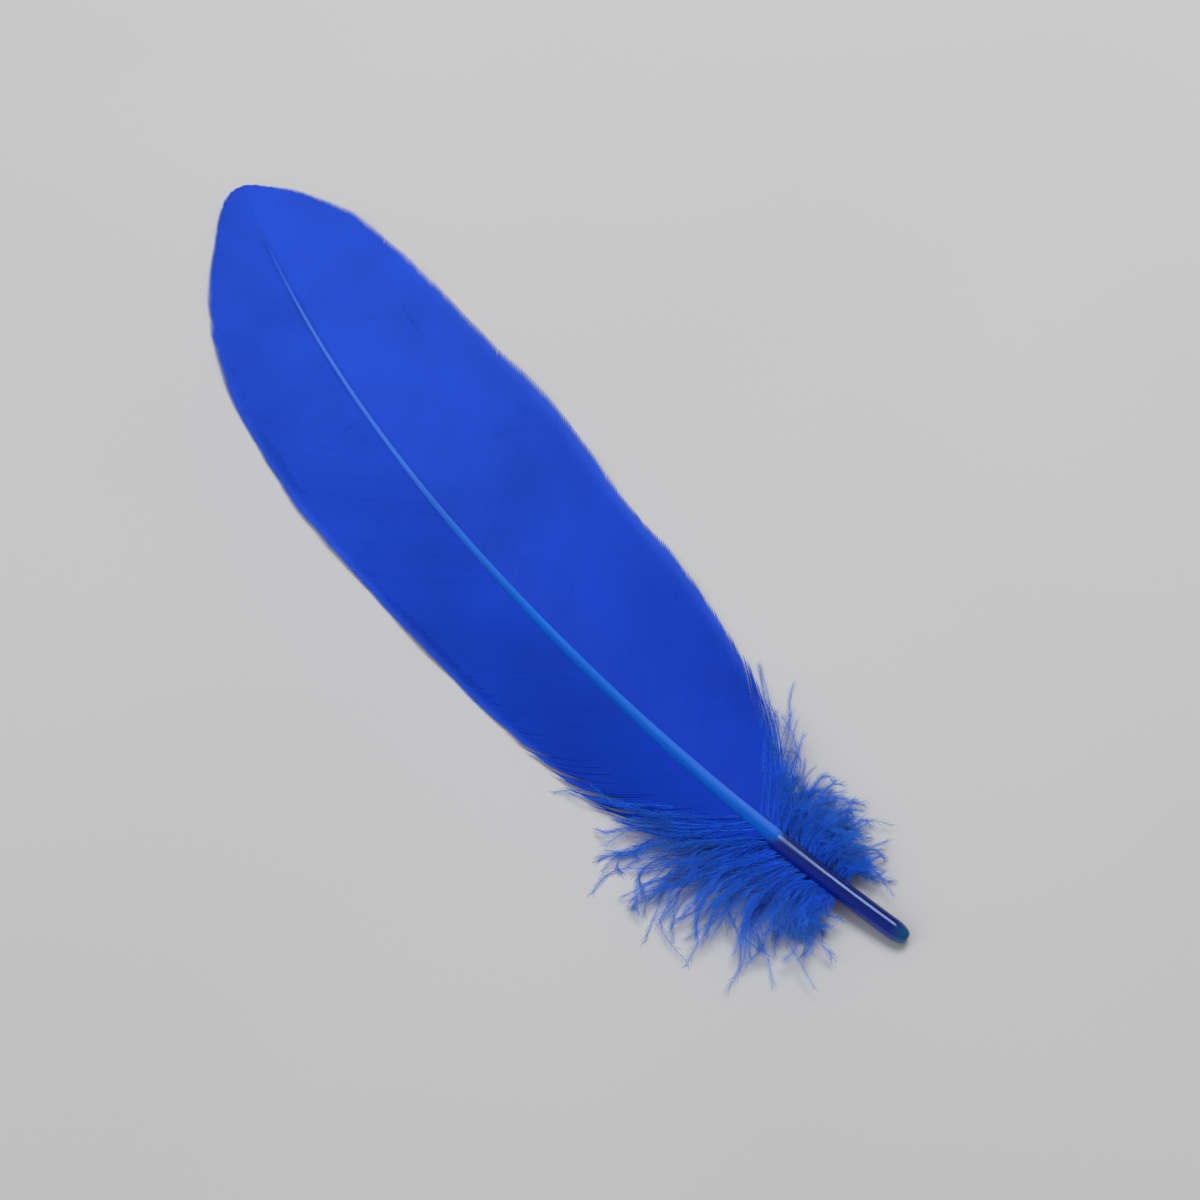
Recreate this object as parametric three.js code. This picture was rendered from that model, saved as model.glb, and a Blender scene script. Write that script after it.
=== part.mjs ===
// A goose quill feather, dyed blue, lying with its outer side up.
// Millimetres. +Z is up, +Y runs from the quill's end to the tip, +X is the broad vane's side.
// A place on the feather is a station, the length along the shaft from the quill's end, and an
// offset, the horizontal distance from the shaft's middle line.

import * as THREE from "three";

// Driving dimensions of the shaft
const CHORD = 166.7;
const BOW = 12.6;
const ARCH = 5.4;
const QUILL_RADIUS = 1.35;
const QUILL_END_HEIGHT = 1.15;
const QUILL_END_ROUNDING = 2.4;
const QUILL_END_FACE = 0.35;
const VANE_START = 22;
const RACHIS_RADIUS_AT_VANE = 1.3;
const TIP_RADIUS = 0.2;
const TIP_HEIGHT = 0.9;
const RACHIS_TAPER = 0.6;

// Driving dimensions of the vanes and the down
const GAP = 0.3;
const VANE_THICKNESS = 0.6;
const LEAST_VANE_WIDTH = 0.2;
const VANE_SEAT = 0.55;
const LEAST_DROOP_WIDTH = 9;
const FOOT_END = 42;
const CROSS_CURVE = 1.6;
const RIM_START = 0.9;
const DOWN_THICKNESS = 3.2;
const DOWN_RIM_THICKNESS = 0.8;
const DOWN_ROOT_FULLNESS = 0.2;
const DOWN_FLOOR_GAP = 0.1;

// Mesh fineness
const SHAFT_SIDES = 12;
const SHAFT_STEPS = 72;
const RING_CROWDING = 0.8;
const VANE_STEPS = 56;
const VANE_COLUMNS = 10;
const DOWN_STEPS = 10;

// The free edge of each vane as station, offset. Both curves start and end at the shaft.
const NARROW_EDGE = [
  [22.4, 1.9],
  [24.5, 4.6],
  [30, 8.6],
  [42, 11.4],
  [62, 12.6],
  [92, 14.2],
  [115, 15.8],
  [136, 14.6],
  [150, 11.3],
  [160, 7.3],
  [165, 5.1],
  [168, 3.3],
  [169.4, 1.6],
  [169.7, 0.6],
];
const BROAD_EDGE = [
  [22.6, 1.9],
  [25, 7],
  [30.5, 13.4],
  [42, 18.8],
  [62, 24.1],
  [84, 26],
  [103, 27.1],
  [122, 24.6],
  [140, 21.6],
  [152, 17.8],
  [160, 14.4],
  [164.3, 11.3],
  [167, 7.2],
  [168.8, 3.4],
  [169.6, 1.4],
  [169.7, 0.6],
];

// The down's outline: where its inner side leaves the quill, and its tips, as station, offset
const DOWN_ROOT_START = 11;
const DOWN_ROOT_END = 19.5;
const DOWN_LEFT_TIPS = [
  [6.5, 5.5],
  [9, 13],
  [16, 20],
  [26, 22.5],
  [33, 17],
];
const DOWN_RIGHT_TIPS = [
  [7, 4.5],
  [9.5, 8.5],
  [13.5, 11.5],
  [19, 13.2],
  [24.5, 12],
];

// The shaft's middle line: a parabola in plan and half a sine wave in height.
class ShaftLine extends THREE.Curve {
  getPoint(t, target = new THREE.Vector3()) {
    const x = -4 * BOW * t * (1 - t);
    const z = THREE.MathUtils.lerp(QUILL_END_HEIGHT, TIP_HEIGHT, t) + ARCH * Math.sin(Math.PI * t);
    return target.set(x, CHORD * t, z);
  }
}

const shaftLine = new ShaftLine();
shaftLine.arcLengthDivisions = 400;
const LENGTH = shaftLine.getLength();

// The shaft's radius: a rounded end, the even quill, then the slowly narrowing rachis.
function shaftRadius(station) {
  if (station < QUILL_END_ROUNDING) {
    const inward = 1 - station / QUILL_END_ROUNDING;
    const bulge = Math.sqrt(1 - inward * inward);
    return QUILL_RADIUS * THREE.MathUtils.lerp(QUILL_END_FACE, 1, bulge);
  }
  if (station < VANE_START) {
    const t = (station - QUILL_END_ROUNDING) / (VANE_START - QUILL_END_ROUNDING);
    return THREE.MathUtils.lerp(QUILL_RADIUS, RACHIS_RADIUS_AT_VANE, t * t);
  }
  const t = (station - VANE_START) / (LENGTH - VANE_START);
  return THREE.MathUtils.lerp(RACHIS_RADIUS_AT_VANE, TIP_RADIUS, Math.pow(t, RACHIS_TAPER));
}

// The middle line's point, and its level sideways and upward directions, at a station.
function shaftFrame(station) {
  const t = THREE.MathUtils.clamp(station / LENGTH, 0, 1);
  const point = shaftLine.getPointAt(t);
  const tangent = shaftLine.getTangentAt(t);
  const side = new THREE.Vector3().crossVectors(tangent, new THREE.Vector3(0, 0, 1)).normalize();
  const up = new THREE.Vector3().crossVectors(side, tangent).normalize();
  return { point, side, up };
}

// The point at a station, offset to one side (+1 broad, -1 narrow), at a height of its own.
function placeBeside(station, offset, hand, height) {
  const { point, side } = shaftFrame(station);
  const level = new THREE.Vector3(side.x, side.y, 0).normalize();
  return new THREE.Vector3(point.x, point.y, 0).addScaledVector(level, hand * offset).setZ(height);
}

// Rewrites each vertex of a geometry by a function of its old place.
function reshape(geometry, place) {
  const positions = geometry.getAttribute("position");
  const vertex = new THREE.Vector3();
  for (let i = 0; i < positions.count; i += 1) {
    vertex.fromBufferAttribute(positions, i);
    const moved = place(vertex);
    positions.setXYZ(i, moved.x, moved.y, moved.z);
  }
  geometry.computeVertexNormals();
  return geometry;
}

// A smooth plan curve through station, offset pairs.
function planCurve(pairs) {
  return new THREE.SplineCurve(pairs.map(([station, offset]) => new THREE.Vector2(station, offset)));
}

// The shaft: a unit cylinder bent along the middle line, its rings closest at both ends.
function makeShaft() {
  const unit = new THREE.CylinderGeometry(1, 1, 1, SHAFT_SIDES, SHAFT_STEPS);
  return reshape(unit, ({ x, y, z }) => {
    const even = y + 0.5;
    const crowded = even - (RING_CROWDING * Math.sin(2 * Math.PI * even)) / (2 * Math.PI);
    const station = LENGTH * crowded;
    const { point, side, up } = shaftFrame(station);
    const radius = shaftRadius(station);
    return point.addScaledVector(side, x * radius).addScaledVector(up, z * radius);
  });
}

// The width that a vane's droop is reckoned by: at its foot, the width that it grows to. At the
// tip it keeps a least width, so that the two vanes close there in one nearly flat sheet.
function droopWidth(rim, edgePairs) {
  const [, widthAtFootEnd] = edgePairs.find(([station]) => station >= FOOT_END);
  return Math.max(rim.x < FOOT_END ? widthAtFootEnd : rim.y, LEAST_DROOP_WIDTH);
}

// The height of a vane's underside: it leaves the upper part of the shaft's flank, curves down
// more steeply with the share of the width, and its rim lies flat on the surface below.
function vaneUnderside(station, share) {
  const seat = shaftFrame(station).point.z + VANE_SEAT * shaftRadius(station) - VANE_THICKNESS / 2;
  const fall = Math.pow(share / RIM_START, CROSS_CURVE);
  return Math.max(0, seat * (1 - fall));
}

// A vane: a unit box laid between the shaft's flank and the vane's free edge.
function makeVane(edgePairs, hand) {
  const edge = planCurve(edgePairs);
  const unit = new THREE.BoxGeometry(1, 1, 1, VANE_COLUMNS, VANE_STEPS, 1);
  return reshape(unit, ({ x, y, z }) => {
    const along = y + 0.5;
    const across = hand * x + 0.5;
    const rim = edge.getPoint(along);
    const inner = shaftRadius(rim.x) + GAP;
    const outer = Math.max(rim.y, inner + LEAST_VANE_WIDTH);
    const offset = THREE.MathUtils.lerp(inner, outer, across);
    const share = offset / droopWidth(rim, edgePairs);
    const height = vaneUnderside(rim.x, share) + (z + 0.5) * VANE_THICKNESS;
    return placeBeside(rim.x, offset, hand, height);
  });
}

// Down: a low fan-shaped cushion from the quill's flank to the tips of the loose barbs.
function makeDown(tipPairs, hand) {
  const tips = planCurve(tipPairs);
  const unit = new THREE.BoxGeometry(1, 1, 1, DOWN_STEPS, DOWN_STEPS, 1);
  return reshape(unit, ({ x, y, z }) => {
    const along = y + 0.5;
    const across = hand * x + 0.5;
    const rootStation = THREE.MathUtils.lerp(DOWN_ROOT_START, DOWN_ROOT_END, along);
    const root = new THREE.Vector2(rootStation, shaftRadius(rootStation) + GAP);
    const place = root.lerp(tips.getPoint(along), across);
    const fullness = Math.sin(Math.PI * THREE.MathUtils.lerp(DOWN_ROOT_FULLNESS, 1, across));
    const swell = Math.sin(Math.PI * along) * fullness;
    const thickness = THREE.MathUtils.lerp(DOWN_RIM_THICKNESS, DOWN_THICKNESS, swell);
    const start = shaftFrame(rootStation).point.z - thickness / 2;
    const floor = THREE.MathUtils.lerp(start, DOWN_FLOOR_GAP, Math.sqrt(across));
    return placeBeside(place.x, place.y, hand, floor + (z + 0.5) * thickness);
  });
}

function material(color, roughness) {
  return new THREE.MeshStandardMaterial({ color, roughness, metalness: 0 });
}

function piece(name, geometry, look) {
  const mesh = new THREE.Mesh(geometry, look);
  mesh.name = name;
  return mesh;
}

const feather = new THREE.Group();
feather.add(
  piece("quill_shaft", makeShaft(), material("#2a6fdc", 0.3)),
  piece("narrow_vane", makeVane(NARROW_EDGE, -1), material("#2350d0", 0.6)),
  piece("broad_vane", makeVane(BROAD_EDGE, 1), material("#1e48c4", 0.6)),
  piece("down_left", makeDown(DOWN_LEFT_TIPS, -1), material("#2450bd", 0.85)),
  piece("down_right", makeDown(DOWN_RIGHT_TIPS, 1), material("#2450bd", 0.85)),
);

// The origin is the middle of the feather's footprint, on the surface that it lies on.
const bounds = new THREE.Box3().setFromObject(feather, true);
const centre = bounds.getCenter(new THREE.Vector3());
feather.children.forEach((mesh) => mesh.position.set(-centre.x, -centre.y, -bounds.min.z));

export default feather;
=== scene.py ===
"""A goose quill feather, dyed blue, built barb by barb around its CAD frame.

Lengths are in metres in the row frame: +Y runs from the quill's end to the tip, +X points to the
broad vane and +Z up. A place on the feather is a station, the length along the shaft from the
quill's end, and an offset, the level distance from the shaft's middle line.
"""

from dataclasses import dataclass

import bpy
import numpy as np
from bpy.props import FloatProperty, FloatVectorProperty, PointerProperty
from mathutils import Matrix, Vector


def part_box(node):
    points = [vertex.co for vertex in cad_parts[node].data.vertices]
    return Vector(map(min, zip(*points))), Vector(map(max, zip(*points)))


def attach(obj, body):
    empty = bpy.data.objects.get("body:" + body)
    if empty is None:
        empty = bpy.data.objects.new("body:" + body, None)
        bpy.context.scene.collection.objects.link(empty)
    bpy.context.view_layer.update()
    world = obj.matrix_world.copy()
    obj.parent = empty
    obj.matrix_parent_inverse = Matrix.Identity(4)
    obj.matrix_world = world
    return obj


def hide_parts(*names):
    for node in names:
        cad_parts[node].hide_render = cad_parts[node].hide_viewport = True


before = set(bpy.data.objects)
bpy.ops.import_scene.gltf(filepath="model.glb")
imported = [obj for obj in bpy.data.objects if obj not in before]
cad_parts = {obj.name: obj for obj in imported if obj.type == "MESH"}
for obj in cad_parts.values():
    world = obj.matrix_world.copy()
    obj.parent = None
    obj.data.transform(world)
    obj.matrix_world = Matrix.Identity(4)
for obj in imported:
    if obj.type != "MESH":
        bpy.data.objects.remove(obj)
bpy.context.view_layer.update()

bl_info = {
    "name": "Goose Quill Feather",
    "version": (1, 0, 0),
    "blender": (4, 5, 0),
    "location": "View3D > Sidebar > Feather",
    "description": "Builds a dyed goose quill feather from its shaft, vanes and loose down",
    "category": "Add Mesh",
}

MM = 0.001
BODY = "root"
KERATIN_IOR = 1.54
LAMINATE_IOR = 1.46
BAKE_MAP = "OFBake"  # the name of the map that colours are baked through

# How fine the meshes are
LINE_SAMPLES = 1601
EDGE_SAMPLES = 900
GUIDE_SAMPLES = 200
SHAFT_RINGS = 360
SHAFT_SIDES = 40
RING_CROWDING = 0.85  # 0 spaces the shaft's rings evenly, and 1 crowds them most at both ends
DOWN_STEM_STEPS, DOWN_STEM_SIDES = 20, 4
BARBULE_STEPS, BARBULE_SIDES = 4, 3

# The shaft. Heights, depths and widths without MM are shares of its radius.
QUILL_ROUNDING = 2.4 * MM
QUILL_END_FACE = 0.35
QUILL_PIT = [(1.3, 0.02), (1.25, 0.17), (0.9, 0.21), (0.3, 0.24), (0.05, 0.29)]  # station, radius
QUILL_WRINKLES = (0.004, 0.9 * MM, 2)  # height, length over one radian, and slant in radians
RACHIS_CHANGE = 6 * MM  # how far before and after the vanes' start the quill becomes the rachis
RACHIS_TAPER = 0.6
RACHIS_SQUARENESS = 0.4
RACHIS_SLIMMING = (0.22, 60 * MM, 110 * MM)  # share lost, and where this starts and ends
RACHIS_GROOVE = (0.32, 0.34)  # depth and half width
RACHIS_STRIAE = (0.006, 17, 0.8)  # height, number, and turn in radians
PITH_BLEND = 0.8 * MM
PITH_POINT = 1.4 * MM  # how much further the pith reaches along the shaft's top than at its sides
TIP_COVER = (21 * MM, 7 * MM)  # how far from the tip the barbs start and end closing over it
TIP_THINNING = 0.45
TIP_SINKING = 0.3 * MM
SHAFT_STOP = 0.9 * MM

# The vanes' cross section, and how the web waves
VANE_THICKNESS = 0.6 * MM
VANE_SEAT = 0.55
LEAST_DROOP_WIDTH = 9 * MM
FOOT_END = 42 * MM
RIM_START = 0.9
WIDEST_SHARE = 1.2
CROSS_CURVE = 1.6
RIM_EASE = 0.45 * MM
RIM_REST = 0.1 * MM
FLOOR_GAP = 0.03 * MM
WEB_WAVE = 0.09 * MM
WEB_WAVES = [(6.3, -4.1, 0.0), (14.1, 5.3, 1.1), (9.1, 3.3, 0.0)]  # mm along, mm across, radians
RIM_WAVES = (4.1 * MM, 1.3, 9.7 * MM)  # length over one radian, unevenness, and the length of it

# How the barbs run and end. Widths without MM are shares of the distance to the next barb.
FIRST_BARB = 0.3 * MM
ROOT_SEAT = 0.5  # the roots' offset, as a share of the shaft's radius
ROOT_CLOSING = 0.7  # how much further in they are near the tip, as such a share
BARB_BEND = [(22, 0.17), (45, 0.13), (110, 0.1), (165, 0.05)]  # station, share of the chord
BARB_HALF_WIDTH = 0.64
BARB_TAPER = (0.8, 0.94)  # share of the width lost at the end, and where on the barb this starts
BARB_THINNING = 0.6
BARB_TILT = (0.015, 0.002 * MM)  # so that each lies over the next: share of its half width, rest

# How the barbs stray: in the web, and how much more at its loose foot. Where neighbours stray
# together, the last number is the reach of their likeness, in barbs.
FOOT_REACH = 5 * MM  # the looseness of the foot falls off exponentially with this length
SLIT_CURVE = 1.2
CLUMPING = (0.05 * MM, 0.42 * MM, 2)
CLUMPED_END, CLUMPED_FOOT = (0.7, 1), (0.2, 1)  # where on a barb clumping starts and is complete
STRAYING = 0.3 * MM  # at the foot only
LIFTING = (0.002 * MM, 0.2 * MM)
BILLOWS = (0.05 * MM, 20)
SHORTENING = (0.1 * MM, 0.8 * MM)
RAGGEDNESS = (0.014, 7)  # share of the barb's length
FOOT_NARROWING = (0.3, 0.1, 0.7)  # width lost, and where on the barb this starts and ends
BARB_TONES = (0.5, 0.7, 6)  # each barb's own tone, and that of neighbours
SHAFT_SHADOW_STATIONS = (60 * MM, 95 * MM)  # the stations where the painted shadow beside the shaft starts and is full
BAKE_STRIP = 0.9  # the share of its strip that a barb fills on the bake's map

# The down. A pair without another comment is the least and the greatest.
DOWN_CLUMP = 4  # barbs whose ends cling together
DOWN_GUIDES = [  # how far a clump is drawn to its middle, and the spread of each barb, in mm
    ("roots", 0.0, 0.2), ("first_pull", 0.1, 0.9), ("second_pull", 0.4, 1.6), ("tips", 0.6, 2.4),
]
DOWN_SPREAD_SHARES = (1, 1, 0.2)  # along, across and up
DOWN_PLACES = (0.15, 0.85)  # where a barb stands in its own share of the guides
DOWN_LENGTHS = (0.62, 1.0)
DOWN_WAVES = (1.1, 2.3)  # number along a barb
DOWN_WAVE_SIZE = (0.85, 0.85, 0.3)  # along, across and up, in mm
DOWN_LEAST = (0.6, 0.12)  # offset and height, in mm
DOWN_THINNING = 0.75
STEM_PALENESS = 0.35
BARE_STEM = 0.04
BARBULE_ROLL = 0.45  # spread of the turn about the stem, in radians
BARBULE_ANGLE = (30, 6)  # mean and spread, in degrees
BARBULE_OPENING = (0.75, 1.4)  # how much wider than that angle a barb's barbules stand
BARBULE_CLING = (0.25, 0.65)  # how far they bend back to the stem
BARBULE_LENGTHS = (0.6, 1.0)
BARBULE_SHORTEST = 0.52  # at the stem's ends
BARBULE_CROWN = 0.75  # power of the way along the stem, which sets where the longest stand
BARBULE_THINNING = 0.6
BARBULE_FLOOR = 0.06 * MM
NEARLY_UP = (0.03, 0.02, 1.0)  # upwards, but never quite along a barb

# How much the brightness changes: from barb to barb in the dye, in a crease as painted shade, and
# beside the shaft as a painted shadow
BARB_UNEVENNESS, DOWN_UNEVENNESS = 0.026, 0.1
CREASE_SHADE = SHAFT_SHADOW = -0.13
HORN_STREAKS = (12 * MM, 3.5)  # length, and number across half the shaft

# The stage, in metres
LOOK_AT = (-0.5 * MM, 66.3 * MM, 0.0)  # from the table's point below the quill's end
CLIP_START = 10 * MM
TABLE_HALF = 1.5
LIGHTS = [  # name, side, whether it shows in reflections, and place to the right, behind and above
    ("key", 0.6, True, (-0.12, 0.45, 0.65)),
    ("window", 0.36, True, (0.14, 0.27, 0.66)),
    ("fill", 0.8, False, (-0.6, -0.25, 0.6)),
]


# ---------------------------------------------------------------- small helpers


def linear(hex_colour):
    """An sRGB hex colour as linear red, green and blue."""
    srgb = np.array([int(hex_colour[i:i + 2], 16) for i in (0, 2, 4)]) / 255
    toe = srgb / 12.92
    shoulder = ((srgb + 0.055) / 1.055) ** 2.4
    return tuple(float(c) for c in np.where(srgb <= 0.04045, toe, shoulder))


def unit(vectors):
    """Vectors scaled to length one along their last axis."""
    length = np.linalg.norm(vectors, axis=-1, keepdims=True)
    return vectors / np.maximum(length, 1e-12)


def smoothstep(low, high, x):
    """0 below low, 1 above high, and the cubic 3t^2 - 2t^3 of the share t between them."""
    t = np.clip((x - low) / (high - low), 0, 1)
    return t * t * (3 - 2 * t)


def slow_noise(rng, count, reach):
    """Random values smoothed with a bell of the given reach in samples, then scaled to spread 1."""
    bell = np.exp(-0.5 * (np.arange(-3 * reach, 3 * reach + 1) / reach) ** 2)
    raw = rng.standard_normal(count + len(bell) - 1)
    smooth = np.convolve(raw, bell, "valid")
    return smooth / smooth.std()


def smooth_curve(points, count):
    """A curve through the points, even in their number: between two points a cubic, whose slope at
    each is half the step between its neighbours. An end point counts as its own neighbour."""
    p = np.asarray(points, float)
    last = len(p) - 1
    place = np.linspace(0, last, count)
    i = np.minimum(place.astype(int), last - 1)
    w = (place - i)[:, None]
    before, start, end, after = p[np.maximum(i - 1, 0)], p[i], p[i + 1], p[np.minimum(i + 2, last)]
    slope_in, slope_out = (end - before) / 2, (after - start) / 2
    cubic = (2 * start - 2 * end + slope_in + slope_out) * w**3
    square = (3 * end - 3 * start - 2 * slope_in - slope_out) * w**2
    return cubic + square + slope_in * w + start


def tube_faces(shape, first):
    """Faces of closed tubes: quads between neighbouring rings, and a fan of triangles at each end.
    shape counts tubes, rings and corners, and the vertices are numbered from first."""
    index = first + np.arange(np.prod(shape)).reshape(shape)
    turned = np.roll(index, -1, axis=2)
    quads = np.stack([index[:, :-1], turned[:, :-1], turned[:, 1:], index[:, 1:]], axis=-1)
    fan = np.arange(1, shape[2] - 1)
    caps = []
    for ring, left, right in ((index[:, 0], fan + 1, fan), (index[:, -1], fan, fan + 1)):
        hub = np.broadcast_to(ring[:, :1], (shape[0], len(fan)))
        caps.append(np.stack([hub, ring[:, left], ring[:, right]], axis=-1).reshape(-1, 3))
    return quads.reshape(-1, 4), np.concatenate(caps)


def tubes_to_mesh(name, *groups, sharp_corners=()):
    """One mesh of closed tubes. Each group holds rings and values. rings is an array of tube, ring,
    corner and x, y, z, whose corners run anticlockwise about the tube's direction. values maps an
    attribute's name to one number per tube, ring and corner, and its u and v are the bake's map.
    If there are sharp corners, the edges that run along a tube through one of them are sharp, and
    so are those about its two ends."""
    rings = [group[0] for group in groups]
    firsts = np.cumsum([0] + [part[..., 0].size for part in rings])
    faces = [tube_faces(part.shape[:3], first) for part, first in zip(rings, firsts)]
    quads, caps = (np.concatenate(kind) for kind in zip(*faces))
    corners = np.concatenate([quads.ravel(), caps.ravel()])
    starts = np.concatenate([4 * np.arange(len(quads)), 4 * len(quads) + 3 * np.arange(len(caps))])
    points = np.concatenate([part.reshape(-1, 3) for part in rings])

    mesh = bpy.data.meshes.new(name)
    mesh.vertices.add(len(points))
    mesh.vertices.foreach_set("co", points.astype(np.float32).ravel())
    mesh.loops.add(len(corners))
    mesh.loops.foreach_set("vertex_index", corners.astype(np.int32))
    mesh.polygons.add(len(starts))
    mesh.polygons.foreach_set("loop_start", starts.astype(np.int32))
    mesh.update(calc_edges=True)
    mesh.polygons.foreach_set("use_smooth", np.ones(len(starts), bool))
    values = {}
    for key in groups[0][1]:
        spread = [np.broadcast_to(own[key], part.shape[:3]).ravel() for part, own in groups]
        values[key] = np.concatenate(spread).astype(np.float32)
    if "u" in values:
        bake_map = mesh.uv_layers.new(name=BAKE_MAP, do_init=False)
        places = np.stack([values.pop("u")[corners], values.pop("v")[corners]], axis=-1)
        bake_map.uv.foreach_set("vector", places.ravel())
    for key, numbers in values.items():
        mesh.attributes.new(key, "FLOAT", "POINT").data.foreach_set("value", numbers)
    if sharp_corners:
        ends = np.empty(2 * len(mesh.edges), np.int32)
        mesh.edges.foreach_get("vertices", ends)
        _, ring_count, sides, _ = rings[0].shape
        ring, corner = np.divmod(ends.reshape(-1, 2), sides)
        along = (corner[:, 0] == corner[:, 1]) & np.isin(corner[:, 0], sharp_corners)
        about = (ring[:, 0] == ring[:, 1]) & np.isin(ring[:, 0] % ring_count, (0, ring_count - 1))
        mesh.edges.foreach_set("use_edge_sharp", along | about)
    if mesh.validate():
        raise RuntimeError(name + " was not a sound mesh")
    return mesh


def add_piece(name, mesh, materials, slot, *nodes):
    """Puts a mesh in the scene as a piece that rides on the feather's body and stands for nodes."""
    piece = bpy.data.objects.new(name, mesh)
    bpy.context.scene.collection.objects.link(piece)
    for material in materials:
        mesh.materials.append(material)
    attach(piece, BODY)
    if nodes:
        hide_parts(*nodes)
    return piece


def add_node(tree, kind, inputs=None, output=0, **settings):
    """Adds a node and returns one of its outputs. settings are the node's own properties, and
    inputs gives each named or numbered socket a value, or the output that feeds it."""
    made = tree.nodes.new(kind)
    for name, value in settings.items():
        setattr(made, name, value)
    for key, value in (inputs or {}).items():
        socket = made.inputs[key]
        if isinstance(value, bpy.types.NodeSocket):
            tree.links.new(value, socket)
        elif socket.type == "RGBA":
            socket.default_value = (*value[:3], 1.0)
        else:
            socket.default_value = value
    return made.outputs[output] if made.outputs else None


def length(name, description, millimetres):
    """A length property, given in millimetres and kept in metres."""
    return FloatProperty(
        name=name, description=description, default=millimetres * MM, min=0.0,
        precision=5, subtype="DISTANCE", unit="LENGTH")


def colour(name, description, hex_colour):
    """A colour property, given as sRGB hex and kept linear."""
    return FloatVectorProperty(
        name=name, description=description, default=linear(hex_colour), min=0.0, max=1.0,
        size=3, subtype="COLOR")


# ---------------------------------------------------------------- sizes and colours


class ShaftSizes(bpy.types.PropertyGroup):
    """Sizes of the quill and the shaft."""

    chord: length("Chord", "Straight distance from the quill's end to the tip", 166.7)
    bow: length("Bow", "Sideways bow at mid-length, towards the narrow vane", 12.6)
    arch: length("Arch", "Rise at mid-length above the line of the ends", 5.4)
    end_height: length("End height", "Height of the middle line at the quill's end", 1.15)
    tip_height: length("Tip height", "Height of the middle line at the tip", 0.9)
    quill_radius: length("Quill radius", "Radius of the bare quill", 1.35)
    rachis_radius: length("Rachis radius", "Radius of the shaft where the vanes start", 1.3)
    tip_radius: length("Tip radius", "Radius of the shaft at the tip", 0.2)
    vane_start: length("Vane start", "Station where the vanes start", 22)


class VaneSizes(bpy.types.PropertyGroup):
    """Sizes of the barbs that make the vanes."""

    spacing: length("Barb spacing", "Distance between two barbs' roots along the shaft", 0.45)
    ridge: length("Ridge height", "Height of a barb's ridge over its web", 0.003)
    keel: length("Keel depth", "Depth of a barb's keel under its web", 0.09)
    wave: length("Rim waves", "Height of the slow waves along the rim", 0.45)


class DownSizes(bpy.types.PropertyGroup):
    """Sizes of the loose down at the feather's foot."""

    barbule: length("Barbule length", "Length of the longest barbules", 2.4)
    barbule_radius: length("Barbule radius", "Radius of a barbule at its root", 0.027)
    stem_radius: length("Stem radius", "Radius of a down barb's stem at its root", 0.085)


class Dyes(bpy.types.PropertyGroup):
    """Colours of the dyed feather."""

    # vane_deep to vane_pale runs from foot to tip: a painted highlight for the light from behind on
    # the tip half.
    vane_pale: colour("Vane, pale", "The vane's outer half", "2b5cf2")
    vane_deep: colour("Vane, deep", "The vane's foot", "1444d6")
    # vane_rim is painted light on the thin barb ends, coming through them and catching the rim.
    vane_rim: colour("Vane, rim", "The thin ends of the vane's barbs", "4a80ff")
    # rachis is the pith-filled shaft in painted shade, rachis_lit the same with a painted
    # highlight, and rachis_pale a paler painted highlight near the foot and the shaft's colour
    # towards the tip.
    rachis: colour("Rachis", "The pith-filled shaft, on the narrow vane's side", "1068e6")
    rachis_lit: colour("Rachis, lit", "The pith-filled shaft, on the broad vane's side", "2c82ff")
    rachis_pale: colour("Rachis, pale", "The pith-filled shaft towards its two ends", "528aff")
    quill: colour("Quill", "The clear horn of the quill over its dark inside", "06147a")
    quill_side: colour("Quill, side", "Light in the clear horn at the quill's far side", "1029a6")
    # quill_end tints the last 2.6 mm of the quill, at its end, teal.
    quill_end: colour("Quill end", "The quill's worn end", "145a9c")
    down: colour("Down", "Roots of the down", "1268fc")
    down_tip: colour("Down tips", "Thin ends of the down, where light comes through", "48a0ff")


class StageSettings(bpy.types.PropertyGroup):
    """The camera, lights and floor."""

    elevation: FloatProperty(
        name="Elevation", description="How far the camera looks down",
        default=float(np.radians(55)), subtype="ANGLE", unit="ROTATION")
    azimuth: FloatProperty(
        name="Azimuth", description="Turn of the camera about the vertical, 0 looks along +Y",
        default=float(np.radians(-35.754)), subtype="ANGLE", unit="ROTATION")
    lens: FloatProperty(
        name="Lens", description="Focal length", default=65.0, unit="CAMERA")
    distance: length("Distance", "Distance from the camera to its target", 307.634)
    floor: colour("Floor", "The matt table top", "e4e4e5")
    key: FloatProperty(name="Key light", description="Power", default=0.45, unit="POWER")
    window: FloatProperty(
        name="Window light", description="Power", default=2.2, unit="POWER")
    fill: FloatProperty(name="Fill light", description="Power", default=1.95, unit="POWER")
    sky: FloatProperty(name="Sky", description="Strength of the even light", default=0.2)
    sky_tint: colour("Sky tint", "Colour of the even light", "f6f6f7")


# ---------------------------------------------------------------- the shaft's middle line


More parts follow.
